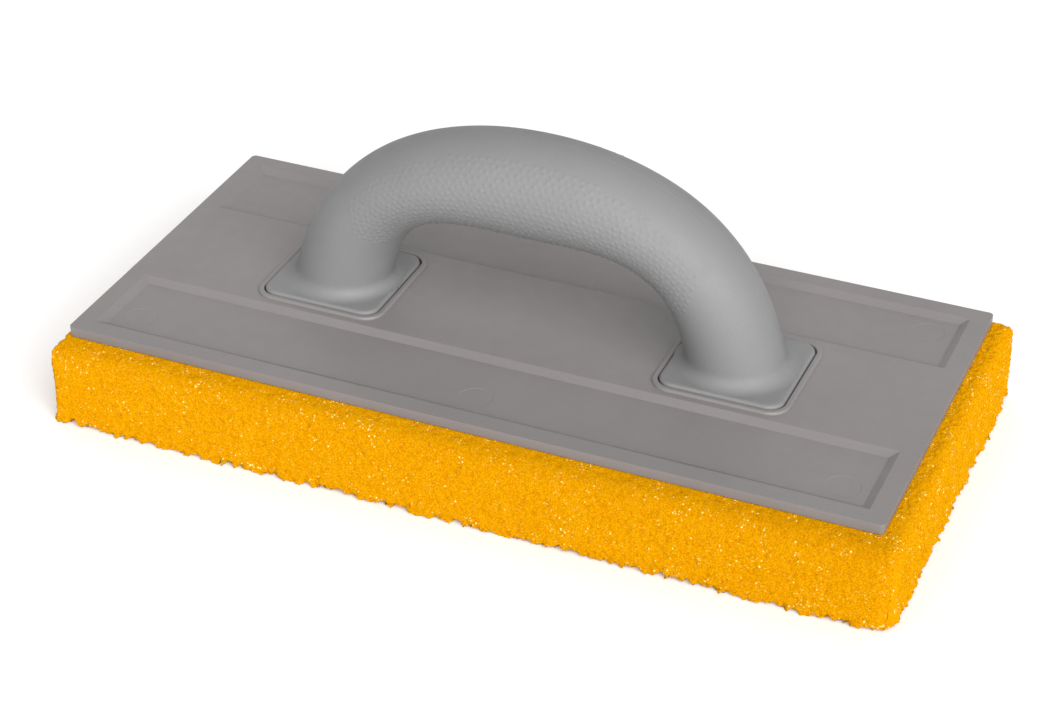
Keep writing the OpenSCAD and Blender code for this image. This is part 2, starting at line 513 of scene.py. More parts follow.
def moulded_plastic(name, colour, grain, roughness):
    """Satin moulded plastic: faint clouds of tone, a fine spark-eroded grain and uneven gloss."""
    paint = Paint(name)
    dark, light = shades(colour, 0.94, 1.06)
    clouds = paint.noise(38, detail=3)
    tone = paint.ramp(clouds, ((0.3, dark), (0.7, light)))
    speck_dark, speck_light = shades(colour, 0.9, 1.1)
    specks = paint.ramp(paint.noise(0.5, detail=2), ((0.3, speck_dark), (0.7, speck_light)))
    paint.set(Base_Color=paint.mix(0.35, tone, specks))
    paint.set(Roughness=paint.range(paint.noise(6, detail=4), 0.3, 0.7, *roughness))
    grain_size, grain_depth = grain
    pores = paint.noise(grain_size, detail=3, roughness=0.6)
    waves = paint.bump(paint.noise(30, detail=1), 0.25, strength=0.35)
    paint.set(Normal=paint.bump(pores, grain_depth, strength=0.6, under=waves), IOR=1.5)
    return paint.material


def sponge_foam():
    """Open-cell foam: yellow on the cell walls and deep orange in the pores, the orange being painted shade,
    with tiny painted pale glints.
    """
    paint = Paint("sponge_foam")
    depth = paint.node("ShaderNodeAttribute", attribute_name="pore_shade_depth").outputs["Fac"]
    # Painted shade: the lower the foam stands, the deeper and darker its orange.
    body = paint.ramp(depth, (
        (0.0, (0.55, 0.15, 0.0003)),
        (0.35, (0.575, 0.235, 0.0005)),
        (0.7, (0.59, 0.275, 0.0008)),
        (1.0, (0.62, 0.345, 0.003)),
    ))
    grains = paint.cells(0.6)
    # Painted shade: each grain is yellow at its middle and deeper orange towards its border, where the pores
    # are.
    grain_pore_shade = paint.ramp(grains.outputs["Distance"], (
        (0.0, (0.70, 0.43, 0.01)),
        (0.4, (0.595, 0.28, 0.0008)),
        (0.9, (0.50, 0.15, 0.0003)),
    ))
    patches = paint.ramp(paint.noise(14, detail=3), (
        (0.3, (0.565, 0.25, 0.0006)),
        (0.7, (0.605, 0.29, 0.0012)),
    ))
    colour = paint.mix(0.6, paint.mix(0.4, body, patches), grain_pore_shade)
    # Painted glints: pale specks mixed into the base colour, where the foam is also a little glossier.
    glints = paint.cells(0.9)
    small = paint.range(glints.outputs["Distance"], 0.2, 0.42, 1.0, 0.0)
    picked = paint.range(glints.outputs["Color"], 0.62, 0.74, 0.0, 1.0)
    clustered = paint.range(paint.noise(5, detail=4), 0.48, 0.56, 0.06, 1.0)
    chipped = paint.range(paint.noise(0.35, detail=1), 0.42, 0.52, 0.25, 1.0)
    shine = small
    for share in (picked, clustered, chipped):
        shine = paint.maths("MULTIPLY", shine, share)
    paint.set(Base_Color=paint.mix(shine, colour, (0.93, 0.80, 0.30)))
    paint.set(Roughness=paint.range(shine, 0.0, 1.0, 1.0, 0.5))
    cells = paint.bump(paint.cells(0.8).outputs["Distance"], 0.4, strength=0.7)
    fibres = paint.noise(0.4, detail=3, roughness=0.7)
    paint.set(Normal=paint.bump(fibres, 0.35, strength=0.9, under=cells))
    paint.set(Diffuse_Roughness=1.0, Specular_IOR_Level=0.0)
    return paint.material


def glue():
    """Cured contact adhesive: amber, with brushed lumps and uneven gloss."""
    paint = Paint("cured_glue")
    blobs = paint.noise(3, detail=4, roughness=0.6)
    paint.set(Base_Color=paint.ramp(blobs, ((0.3, (0.50, 0.38, 0.17)), (0.7, (0.72, 0.62, 0.38)))))
    paint.set(Roughness=paint.range(paint.noise(5, detail=3), 0.3, 0.7, 0.25, 0.5))
    paint.set(Normal=paint.bump(blobs, 0.15))
    return paint.material


def zinc_plate():
    """Zinc-plated steel: bright, with fine turning marks and duller patches."""
    paint = Paint("zinc_plated_steel")
    patches = paint.noise(1.6, detail=4, roughness=0.6)
    paint.set(Base_Color=paint.ramp(patches, ((0.3, (0.50, 0.51, 0.54)), (0.7, (0.72, 0.72, 0.70)))))
    paint.set(Roughness=paint.range(patches, 0.3, 0.7, 0.22, 0.42))
    turning = paint.texture("ShaderNodeTexWave", 0.4, bands_direction="Z")
    turning.inputs["Distortion"].default_value = 1.5
    paint.set(Normal=paint.bump(turning.outputs["Fac"], 0.02, strength=0.5), Metallic=1.0)
    return paint.material


def floor_paint():
    """A plain pale studio floor."""
    paint = Paint("pale_floor")
    dull, pale = shades((1.0, 1.0, 1.0), 0.93, 0.96)
    paint.set(Base_Color=paint.ramp(paint.noise(400, detail=2), ((0.3, dull), (0.7, pale))))
    paint.set(Roughness=0.9, Specular_IOR_Level=0.1)
    return paint.material


# ---- Sponge ----


def sponge_outline():
    """Evenly spaced points round the sponge's plan, anticlockwise from the middle of its right end."""
    length, width, _ = SPONGE_SIZE
    r = SPONGE_CORNER
    x, y = length / 2 - r, width / 2 - r
    arc = math.pi / 2 * r
    # Each stretch: its start, direction and length, or a corner's middle, first angle and length.
    stretches = (
        ("line", (x + r, 0), (0, 1), y), ("arc", (x, y), 0, arc),
        ("line", (x, y + r), (-1, 0), 2 * x), ("arc", (-x, y), 90, arc),
        ("line", (-x - r, y), (0, -1), 2 * y), ("arc", (-x, -y), 180, arc),
        ("line", (-x, -y - r), (1, 0), 2 * x), ("arc", (x, -y), 270, arc),
        ("line", (x + r, -y), (0, 1), y),
    )
    total = sum(stretch[3] for stretch in stretches)
    points, normals = [], []
    index, passed = 0, 0.0
    for i in range(SPONGE_POINTS):
        distance = total * i / SPONGE_POINTS
        while distance > passed + stretches[index][3]:
            passed += stretches[index][3]
            index += 1
        kind, place, heading, _ = stretches[index]
        along = distance - passed
        if kind == "line":
            points.append((place[0] + heading[0] * along, place[1] + heading[1] * along))
            normals.append((heading[1], -heading[0]))
        else:
            turn = math.radians(heading) + along / r
            normals.append((math.cos(turn), math.sin(turn)))
            points.append((place[0] + r * math.cos(turn), place[1] + r * math.sin(turn)))
    return np.array(points), np.array(normals)


def side_shares(outward):
    """How far each outline point belongs to the left, right, front and back side."""
    x, y = outward.T
    sides = (np.minimum(x, 0), np.maximum(x, 0), np.minimum(y, 0), np.maximum(y, 0))
    return np.stack(sides, axis=1) ** 2


def sponge_rings(outline, outward):
    """The rings of the sponge's skin, from the middle of its top to the middle of its underside.

    Each is (insets, heights, lean outwards, lean up, step): how far in from the left, right, front and
    back sides it lies and how high, by outline point, its normal, and its step along the outline."""
    length, width, height = SPONGE_SIZE
    even = np.ones((len(outline), 4))
    level = np.full(len(outline), height)
    under = UNDER_PLATE + even * np.array((
        PLATE_LOW[0] - SPONGE_LOW[0], SPONGE_HIGH[0] - PLATE_HIGH[0],
        PLATE_LOW[1] - SPONGE_LOW[1], SPONGE_HIGH[1] - PLATE_HIGH[1],
    ))
    top_round = side_shares(outward) @ SPONGE_TOP_ROUND
    from_worn = np.hypot(outline[:, 0] - length / 2, outline[:, 1] + width / 2)
    worn = smoothstep(1 - from_worn / WORN_BOTTOM_REACH)
    bottom_round = SPONGE_BOTTOM_ROUND + WORN_BOTTOM_ROUND * worn
    reach = (PLATE_WIDTH - 2 * UNDER_PLATE) / 2 - MIDDLE_GAP
    coarse = np.linspace(reach, COARSE_TOP_FROM, COARSE_TOP_RINGS)
    rings = [(under + inset, level, 0, 1, COARSE) for inset in coarse]
    rings += [(under + inset, level, 0, 1, MEDIUM) for inset in MEDIUM_TOP]
    for i in range(FINE_TOP_RINGS):
        share = i / FINE_TOP_RINGS
        rings.append((under * (1 - share) + SPONGE_TOP_ROUND * share, level, 0, 1, FINE))
    for turn in np.radians(np.linspace(90, 0, TOP_ROUND_RINGS)):
        inset = SPONGE_TOP_ROUND * even * (1 - math.cos(turn))
        drop = top_round * (1 - math.sin(turn))
        rings.append((inset, height - drop, math.cos(turn), math.sin(turn), FINE))
    count = round((height - SPONGE_TOP_ROUND.min() - SPONGE_BOTTOM_ROUND) / SPONGE_STEP)
    for i in range(1, count):
        share = i / count
        rings.append((0 * even, (height - top_round) * (1 - share) + bottom_round * share, 1, 0, FINE))
    for turn in np.radians(np.linspace(0, 90, BOTTOM_ROUND_RINGS)):
        inset = even * bottom_round[:, None] * (1 - math.cos(turn))
        rise = bottom_round * (1 - math.sin(turn))
        rings.append((inset, rise, math.cos(turn), -math.sin(turn), FINE))
    edge = even * bottom_round[:, None]
    reach = width / 2 - bottom_round.max() - MIDDLE_GAP
    for insets, step in (
        ((SPONGE_STEP, 2 * SPONGE_STEP), FINE),
        (np.arange(4 * SPONGE_STEP, MEDIUM_UNDER_TO, 2 * SPONGE_STEP), MEDIUM),
        (np.linspace(COARSE_UNDER_FROM, reach, COARSE_UNDER_RINGS), COARSE),
    ):
        rings += [(edge + inset, 0 * level, 0, -1, step) for inset in insets]
    return rings


def join_rings(fine, coarse):
    """Faces between two closed rings of point numbers; the second may have half as many points."""
    faces = []
    n = len(coarse)
    if len(fine) == n:
        for i in range(n):
            j = (i + 1) % n
            faces.append([fine[i], coarse[i], coarse[j], fine[j]])
        return faces
    for i in range(n):
        j = (i + 1) % n
        first, middle, last = fine[2 * i], fine[2 * i + 1], fine[(2 * i + 2) % len(fine)]
        faces.append([first, coarse[i], middle])
        faces.append([middle, coarse[i], coarse[j]])
        faces.append([middle, coarse[j], last])
    return faces


def close_ring(ring, x):
    """Faces across a long thin ring, whose points i and n - i lie opposite each other.

    x holds the points' places along the ring: those on its straight ends share one face."""
    n = len(ring)
    end = sum(x[: n // 2] > x[0] - 1e-6)
    faces = [[ring[i] for i in range(-end, end + 1)]]
    for i in range(end, n // 2 - end):
        faces.append([ring[i], ring[i + 1], ring[n - i - 1], ring[n - i]])
    faces.append([ring[i] for i in range(n // 2 - end, n // 2 + end + 1)])
    return faces


def foam_height(point):
    """How far the foam's cut surface stands out of its block at a point, in millimetres."""
    distances, _ = noise.voronoi(point / GRANULE)
    granule = GRANULE_MIDDLE - distances[0]
    grain = noise.noise(point / GRAIN)
    pit = smoothstep((noise.noise(point / PIT + PIT_PLACE) - PIT_START) / PIT_WALL)
    lump = noise.noise(point / LUMP)
    raised = GRANULE_HEIGHT * granule + GRAIN_HEIGHT * grain + LUMP_HEIGHT * lump
    return FOAM_SWELL + raised - PIT_DEPTH * pit


def tear_out(points, normals, picker):
    """Pulls small bites out of the sponge's edges, most of them along the bottom one."""
    length, width, height = SPONGE_SIZE
    bitten = points.copy()
    for _ in range(TEARS):
        along = picker.uniform(-0.5, 0.5)
        side = picker.choice((-1, 1))
        if picker.random() < length / (length + width):
            place = (along * length, side * width / 2)
        else:
            place = (side * length / 2, along * width)
        level = 0.0 if picker.random() < TEARS_BELOW else height
        centre = np.array((*place, level))
        radius = picker.uniform(*TEAR_RADIUS)
        distance = np.linalg.norm(points - centre, axis=1)
        near = distance < radius
        pull = (1 - (distance[near] / radius) ** 2) * radius * TEAR_DEPTH
        bitten[near] -= normals[near] * pull[:, None]
    return bitten


def build_sponge():
    """The sponge pad: one skin of pores and grains, with worn edges, flat where the plate covers it."""
    outline, outward = sponge_outline()
    length, width, _ = SPONGE_SIZE
    points, normals, rings = [], [], []
    for insets, heights, lean_out, lean_up, step in sponge_rings(outline, outward):
        left, right, front, back = insets[::step].T
        plan = outline[::step]
        x = SPONGE_LOW[0] + left + (plan[:, 0] + length / 2) * (length - left - right) / length
        y = SPONGE_LOW[1] + front + (plan[:, 1] + width / 2) * (width - front - back) / width
        start = sum(len(ring) for ring in rings)
        rings.append(range(start, start + len(plan)))
        points.append(np.stack((x, y, heights[::step]), axis=1))
        lean = np.full((len(plan), 1), lean_up)
        normals.append(np.hstack((outward[::step] * lean_out, lean)))
    points, normals = np.vstack(points), np.vstack(normals)
    faces = close_ring(rings[0], points[list(rings[0]), 0])
    for first, second in zip(rings, rings[1:]):
        if len(second) > len(first):
            faces += flipped(join_rings(second, first))
        else:
            faces += join_rings(first, second)
    faces += flipped(close_ring(rings[-1], points[list(rings[-1]), 0]))

    # The plate covers the middle of the top: there the foam stays flat against the glue.
    past_length = np.abs(points[:, 0] - PLATE_X) - PLATE_LENGTH / 2
    past_width = np.abs(points[:, 1] - PLATE_Y) - PLATE_WIDTH / 2
    bare = smoothstep((np.maximum(past_length, past_width) + BARE_BAND) / (2 * BARE_BAND))
    free = np.where(points[:, 2] > SPONGE_HIGH[2] - 0.01, bare, 1.0)
    on_side = np.abs(normals[:, 2]) < 0.9
    near_floor = np.clip(1 - points[:, 2] / EDGE_REACH, 0, 1) * on_side
    ragged = 1 + EDGE_RAGGED * near_floor
    heights = np.array([foam_height(Vector(point)) for point in points])
    from_worn = np.hypot(points[:, 0] - SPONGE_HIGH[0], points[:, 1] - SPONGE_LOW[1])
    wear = WORN_DEPTH * smoothstep(1 - from_worn / WORN_REACH) * on_side
    lift = FLOOR_LIFT * np.clip(-normals[:, 2], 0, 1)
    outwards = heights * free * ragged + EDGE_SPREAD * near_floor - wear - lift
    shaped = points + normals * outwards[:, None]
    shaped = tear_out(shaped, normals * free[:, None], random.Random(SEED))
    shaped[:, 2] = np.maximum(shaped[:, 2], 0.0)
    sponge = make_piece("sponge", shaped, faces)
    # The foam's height, kept for the painted shade in its pits.
    depth = sponge.data.attributes.new("pore_shade_depth", "FLOAT", "POINT")
    depth.data.foreach_set("value", np.clip(DEPTH_MIDDLE + DEPTH_PER_MM * heights, 0, 1).astype(np.float32))
    dress(sponge, sponge_foam())
    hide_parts("sponge_pad")


# ---- Glue film ----


def build_film():
    """The glue line: a thin sheet whose edge wanders a little and bulges where it was squeezed."""
    size = FILM_HIGH - FILM_LOW
    plain = rounded_outline(size[0], size[1], PLATE_CORNER, PLATE_CORNER_STEPS)
    outline = []
    for i, (x, y) in enumerate(plain):
        next_x, next_y = plain[(i + 1) % len(plain)]
        count = max(1, round(math.hypot(next_x - x, next_y - y)))
        for j in range(count):
            outline.append((x + (next_x - x) * j / count, y + (next_y - y) * j / count))
    layers = []
    for share, squeeze in FILM_LAYERS:
        layer = []
        for x, y in outline:
            wander = FILM_WANDER + FILM_WANDER * noise.noise(Vector((x, y, 0)) / FILM_WAVE) + squeeze
            layer.append((x * (1 - 2 * wander / size[0]), y * (1 - 2 * wander / size[1])))
        layers.append((layer, FILM_LOW[2] + size[2] * share))
    points, faces = moved(lofted(layers), PLATE_X, PLATE_Y)
    film = make_piece("glue_film", points, faces)
    dress(film, glue(), FILM_SHARP_ANGLE)
    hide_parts("adhesive_film")


# ---- Backing plate ----


def panel_recess(side):
    """The space that one recessed panel takes out of the plate, with its sloping walls."""
    length = PLATE_LENGTH - 2 * PANEL_BORDER
    width = PLATE_WIDTH / 2 - PANEL_BORDER - STRIP_WIDTH / 2
    centre = side * (STRIP_WIDTH + width) / 2
    layers = []
    for level in (-1, 1):
        grow = level * PANEL_SLOPE
        layers.append((rectangle(length / 2 + grow, width / 2 + grow), level * PANEL_DEPTH))
    return moved(lofted(layers), PLATE_X, PLATE_Y + centre, PLATE_TOP)


def screw_hole():
    """A countersunk hole through the plate's socket floor, measured from the plate's underside."""
    head = circle_outline(SCREW_HEAD_RADIUS, HOLE_STEPS)
    hole = circle_outline(SCREW_HOLE_RADIUS, HOLE_STEPS)
    return lofted(((head, -CUT_CLEAR), (head, 0.0), (hole, SCREW_HEAD_HEIGHT), (hole, HOLE_REACH)))


def rim_layers(size, corner, depth, edge_round, side):
    """Layers from a depth below the plate's top to a rim's top, whose round edge leans in, -1, or out, 1."""
    layers = [(rounded_outline(size, size, corner, CORNER_STEPS), -depth)]
    for turn in np.radians(np.linspace(0, 90, ROUND_STEPS + 1)):
        grow = side * edge_round * (1 - math.cos(turn))
        wide = size + 2 * grow
        outline = rounded_outline(wide, wide, corner + grow, CORNER_STEPS)
        layers.append((outline, RIM_HEIGHT - edge_round * (1 - math.sin(turn))))
    return layers


def rim_bead():
    """A socket's raised rim with a round outer edge, measured from the plate's top."""
    return lofted(rim_layers(RIM_SIZE, RIM_CORNER, RIM_ROOT, RIM_OUTER_ROUND, -1))


def socket_space():
    """The space inside a socket, opening out over the rim's round inner edge."""
    size, corner = RIM_SIZE - 2 * RIM_WIDTH, RIM_CORNER - RIM_WIDTH
    layers = rim_layers(size, corner, SOCKET_DEPTH, RIM_INNER_ROUND, 1)
    mouth, _ = layers[-1]
    return lofted([*layers, (mouth, RIM_HEIGHT + 2 * CUT_CLEAR)])


def ejector_mark():
    """The shallow round dip that an ejector pin leaves, measured from the panel's floor."""
    outline = circle_outline(EJECTOR_RADIUS + EJECTOR_SLOPE, EJECTOR_STEPS)
    floor = circle_outline(EJECTOR_RADIUS - EJECTOR_SLOPE, EJECTOR_STEPS)
    return lofted(((floor, -EJECTOR_DEPTH), (outline, 0.0), (outline, CUT_CLEAR)))


def build_plate():
    """The backing plate, with its recessed panels, raised sockets, screw holes and ejector marks."""
    slab = rounded_outline(PLATE_LENGTH, PLATE_WIDTH, PLATE_CORNER, PLATE_CORNER_STEPS)
    points, faces = moved(lofted(((slab, PLATE_BOTTOM), (slab, PLATE_TOP))), PLATE_X, PLATE_Y)
    plate = make_piece("plate", points, faces)
    for side in (-1, 1):
        x = HANDLE_X + side * FOOT_X
        cut_or_join(plate, moved(rim_bead(), x, PLATE_Y, PLATE_TOP), "UNION")
        cut_or_join(plate, moved(socket_space(), x, PLATE_Y, PLATE_TOP), "DIFFERENCE")
        for across in (-SCREW_OFFSET, SCREW_OFFSET):
            cut_or_join(plate, moved(screw_hole(), x, PLATE_Y + across, PLATE_BOTTOM), "DIFFERENCE")
        cut_or_join(plate, panel_recess(side), "DIFFERENCE")
    edges = plate.modifiers.new("rounded edges", "BEVEL")
    edges.width = PLATE_EDGE_ROUND * METRES
    edges.segments = PLATE_EDGE_STEPS
    edges.limit_method = "ANGLE"
    edges.angle_limit = math.radians(PLATE_EDGE_ANGLE)
    apply_modifiers(plate)
    floor_level = PLATE_TOP - PANEL_DEPTH
    for y in EJECTOR_ROWS:
        for step in (-1, 0, 1):
            x = PLATE_X + step * EJECTOR_SPACING
            cut_or_join(plate, moved(ejector_mark(), x, PLATE_Y + y, floor_level), "DIFFERENCE")
    plastic = moulded_plastic("plate_plastic", PLATE_COLOUR, PLATE_GRAIN, PLATE_ROUGHNESS)
    dress(plate, plastic, PLATE_SHARP_ANGLE)
    weighted = plate.modifiers.new("flat faces stay flat", "WEIGHTED_NORMAL")
    weighted.keep_sharp = True
    apply_modifiers(plate)
    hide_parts("backing_plate")


# ---- Handle ----


def arch_curve(s):
    """The arch's centreline and its outward direction at s, from the foot, 0, to the crown, 1."""
    control = np.array((
        (FOOT_X, 0),
        (FOOT_X - LEG_LEAN, LEG_RISE),
        (GRIP_FLAT, GRIP_RISE),
        (0, GRIP_RISE),
    ))
    s = np.asarray(s)[:, None]
    q = 1 - s
    weights = (q**3, 3 * q * q * s, 3 * q * s * s, s**3)
    place = sum(weight * point for weight, point in zip(weights, control))
    step = np.diff(control, axis=0)
    slope = q * q * step[0] + 2 * q * s * step[1] + s * s * step[2]
    slope /= np.linalg.norm(slope, axis=1, keepdims=True)
    return place, np.stack((slope[:, 1], -slope[:, 0]), axis=1)


def arch_half_thickness(x):
    """Half the arch's thickness in its own plane: full in the grip, slim at the shoulders."""
    to_shoulder = np.minimum(x / SHOULDER_X, 1)
    to_foot = (x - SHOULDER_X) / (FOOT_X - SHOULDER_X)
    in_grip = SHOULDER_R + (GRIP_R - SHOULDER_R) * np.cos(math.pi / 2 * to_shoulder) ** 2
    in_leg = SHOULDER_R + (LEG_R - SHOULDER_R) * to_foot**2
    return np.where(x < SHOULDER_X, in_grip, in_leg)


def square_reach(half, corner, turns):
    """How far a square with round corners reaches from its middle, in each direction."""
    u, v = np.abs(np.sin(turns)), np.abs(np.cos(turns))
    core = half - corner
    flat = half / np.maximum(u, v)
    both = core * (u + v)
    rounded = both + np.sqrt(np.maximum(both**2 - 2 * core**2 + corner**2, 0))
    return np.where(flat * np.minimum(u, v) <= core, flat, rounded)


def column_turns():
    """Angles round a half section, from the seam under the arch to the seam on its back."""
    seam = math.degrees(SEAM_BREAK / GRIP_R)
    lower, upper = GRIP_LOWER - GRID_MARGIN, GRIP_UPPER + GRID_MARGIN
    below = np.linspace(-90 + seam, lower, LOWER_COLUMNS)
    grip = np.linspace(lower, upper, GRIP_COLUMNS)
    above = np.linspace(upper, 90 - seam, UPPER_COLUMNS)
    return np.radians(np.concatenate(((-90,), below, grip[1:], above[1:], (90,))))


def half_arch_rows():
    """Places s of a half arch's rows above the foot's fillet, and their distances from the crown."""
    s = np.linspace(0, 1, CURVE_SAMPLES)
    place, _ = arch_curve(s)
    travel = np.concatenate(((0,), np.cumsum(np.linalg.norm(np.diff(place, axis=0), axis=1))))
    to_crown = travel[-1] - travel
    first = np.interp(FOOT_TOP + FOOT_FILLET, place[:, 1], to_crown)
    leg = np.linspace(first, GRIP_ZONE + GRID_MARGIN, LEG_ROWS)
    grip = np.linspace(GRIP_ZONE + GRID_MARGIN, 0, GRIP_ROWS)
    rows = np.concatenate((leg, grip[1:]))
    return np.interp(travel[-1] - rows, travel, s), rows


def sections(s, turns, inset, flare=0.0, level_only=False):
    """Half sections of the leg or arch: rows at s by columns at turns. Near the foot they lie level."""
    place, out = arch_curve(s)
    rise = place[:, 1]
    blend = 0 * rise if level_only else smoothstep((rise - FOOT_TOP - FOOT_FILLET) / SECTION_TURN)
    heading = out * blend[:, None] + np.array((1, 0)) * (1 - blend)[:, None]
    heading /= np.linalg.norm(heading, axis=1, keepdims=True)
    square_on = np.sum(heading * out, axis=1)
    across = (arch_half_thickness(place[:, 0]) - inset) / square_on + flare
    deepening = np.sin(math.pi / 2 * s) ** 2
    deep = LEG_DEPTH_R + (GRIP_DEPTH_R - LEG_DEPTH_R) * deepening - inset + flare
    reach = across[:, None] * np.sin(turns)
    x = place[:, :1] + reach * heading[:, :1]
    y = -deep[:, None] * np.cos(turns)
    z = place[:, 1:] + reach * heading[:, 1:]
    return np.stack((x, y, z), axis=2)


def s_at_height(z):
    s = np.linspace(0, 0.5, LEG_SAMPLES)
    place, _ = arch_curve(s)
    return np.interp(z, place[:, 1], s)


def level_row(turns, reach, z):
    """A level row of points round the right foot, at a reach from its middle."""
    x = FOOT_X + reach * np.sin(turns)
    return np.stack((x, -reach * np.cos(turns), np.full(len(turns), z)), axis=1)


def leg_row(turns, z, inset, flare=0.0):
    """The right leg's level half section at a height."""
    row = sections(np.array((s_at_height(z),)), turns, inset, flare, level_only=True)[0]
    row[:, 2] = z
    return row


def foot_rows(turns):
    """Rows of the right foot, from its hole's lower edge out, up and in to the fillet's top."""
    base = square_reach(FOOT_HALF - FOOT_CHAMFER, FOOT_CORNER - FOOT_CHAMFER, turns)
    outline = square_reach(FOOT_HALF, FOOT_CORNER, turns)
    rows = [level_row(turns, reach, -SOCKET_DEPTH) for reach in (FOOT_HOLE, (FOOT_HOLE + base) / 2, base)]
    rows.append(level_row(turns, outline, -SOCKET_DEPTH + FOOT_CHAMFER))
    for turn in np.radians(np.linspace(0, 90, FOOT_EDGE_ROWS)):
        inset = FOOT_EDGE * (1 - math.cos(turn))
        reach = square_reach(FOOT_HALF - inset, FOOT_CORNER - inset, turns)
        rows.append(level_row(turns, reach, FOOT_TOP - FOOT_EDGE * (1 - math.sin(turn))))
    edge = rows[-1]
    fillet = []
    for turn in np.radians(np.linspace(0, 90, FILLET_ROWS + 1)[:-1]):
        z = FOOT_TOP + FOOT_FILLET * (1 - math.cos(turn))
        fillet.append(leg_row(turns, z, 0.0, FOOT_FILLET * (1 - math.sin(turn))))
    for share in (1 / 3, 2 / 3):
        rows.append(edge + (fillet[0] - edge) * share)
    return np.array(rows + fillet)


def foot_inner_rows(turns, outer):
    """Rows up the inside of the foot's hole and of the leg's foot, one for each outer row."""
    rows = []
    hole_rows = len(outer) - FILLET_ROWS
    for i, outer_row in enumerate(outer):
        if i < hole_rows:
            z = -SOCKET_DEPTH + (FOOT_TOP + SOCKET_DEPTH) * i / hole_rows
            rows.append(level_row(turns, FOOT_HOLE, z))
        else:
            rows.append(leg_row(turns, max(outer_row[0, 2], FOOT_TOP + INNER_LIFT), SHELL))
    return np.array(rows)


def both_halves(half):
    """Rows from the right foot over the crown to the left foot."""
    return np.concatenate((half, half[-2::-1] * np.array((-1, 1, 1))))


def pebbles(along, turns, surface):
    """Height of the grip's pebbles at every point of the outer surface."""
    radius = (GRIP_R + GRIP_DEPTH_R) / 2
    across = turns * radius
    pace = np.linalg.norm(np.gradient(surface, axis=0), axis=2)
    stretch = pace / np.maximum(np.abs(np.gradient(along)), 1e-6)[:, None]
    line_gap = PEBBLE_PITCH * math.sqrt(3) / 2
    heights = np.zeros(surface.shape[:2])
    for neighbour in (0, 1):
        line = np.floor(across / line_gap) + neighbour
        shift = 0.5 * (line % 2)
        centre = (np.round(along[:, None] / PEBBLE_PITCH - shift) + shift) * PEBBLE_PITCH
        turn = np.degrees(line * line_gap / radius)
        upper = GRIP_UPPER - GRIP_UPPER_DROP * centre**2
        from_end = GRIP_ZONE - np.abs(centre)
        rounding = np.sqrt(np.maximum(1 - np.clip(1 - from_end / GRIP_END_ROUND, 0, 1) ** 2, 0))
        middle = (upper + GRIP_LOWER) / 2
        half = (upper - GRIP_LOWER) / 2 * rounding
        inside = (np.abs(turn - middle) < half) & (from_end > 0)
        shake = PEBBLE_WAVES[0] * centre + PEBBLE_WAVES[1] * line
        off_along = (along[:, None] - centre) * stretch + PEBBLE_JITTER * np.sin(shake)
        off_across = across - line * line_gap + PEBBLE_JITTER * np.cos(2 * shake)
        gap = np.hypot(off_along, off_across)
        tall = PEBBLE_HEIGHT * (1 - PEBBLE_UNEVEN * np.sin(3 * shake) ** 2)
        bump = tall * (1 - np.minimum(gap / PEBBLE_RADIUS, 1) ** 2) ** 2
        heights = np.maximum(heights, bump * inside)
    return heights


def handle_half():
    """Points and faces of the front half shell: outer skin, inner skin and the two seam faces."""
    turns = column_turns()
    s, to_crown = half_arch_rows()
    foot = foot_rows(turns)
    half = np.concatenate((foot, sections(s, turns, 0.0)))
    outer = both_halves(half)
    along = np.concatenate((to_crown[0] + np.arange(len(foot), 0, -1.0), to_crown))
    along = np.concatenate((along, -along[-2::-1]))
    normals = grid_normals(outer)
    outer = outer + normals * pebbles(along, turns, outer)[:, :, None]
    for column in (0, -1):
        flat = normals[:, column] * np.array((1, 0, 1))
        outer[1:-1, column] -= flat[1:-1] * SEAM_BREAK
        outer[:, column, 1] = 0.0
    inner_turns = turns[::INNER_EVERY]
    inner_half = np.concatenate((foot_inner_rows(inner_turns, foot), sections(s, inner_turns, SHELL)))
    inner = both_halves(inner_half)[1:-1]
    inner[:, (0, -1), 1] = 0.0

    rows, columns = outer.shape[:2]
    outer_ids = np.arange(rows * columns).reshape(rows, columns)
    inner_ids = rows * columns + np.arange(inner.shape[0] * inner.shape[1]).reshape(inner.shape[:2])
    faces = grid_faces(outer_ids)
    faces += grid_faces(inner_ids, flip=True)
    faces += fan_faces(outer_ids[0], inner_ids[0], flip=True)
    faces += fan_faces(outer_ids[-1], inner_ids[-1])
    for column, flip in ((0, False), (-1, True)):
        outer_edge, inner_edge = outer_ids[:, column], inner_ids[:, column]
        seam = [[outer_edge[0], outer_edge[1], inner_edge[0]]]
        for k in range(1, rows - 2):
            seam.append([outer_edge[k], outer_edge[k + 1], inner_edge[k], inner_edge[k - 1]])
        seam.append([outer_edge[-2], outer_edge[-1], inner_edge[-1]])
        faces += flipped(seam) if flip else seam
    points = np.concatenate((outer.reshape(-1, 3), inner.reshape(-1, 3)))
    return points, [[int(i) for i in face] for face in faces]


def turned(profile, steps):
    """A closed solid turned round the Z axis from (radius, height) points that start and end on it."""
    rings = profile[1:-1]
    points = [(0, 0, profile[0][1]), (0, 0, profile[-1][1])]
    points += [(x, y, z) for radius, z in rings for x, y in circle_outline(radius, steps)]
    faces = []
    for i in range(steps):
        j = (i + 1) % steps
        faces.append([0, 2 + j, 2 + i])
        last = 2 + (len(rings) - 1) * steps
        faces.append([1, last + i, last + j])
        for k in range(len(rings) - 1):
            here, there = 2 + k * steps, 2 + (k + 1) * steps
            faces.append([here + i, here + j, there + j, there + i])
    return points, faces


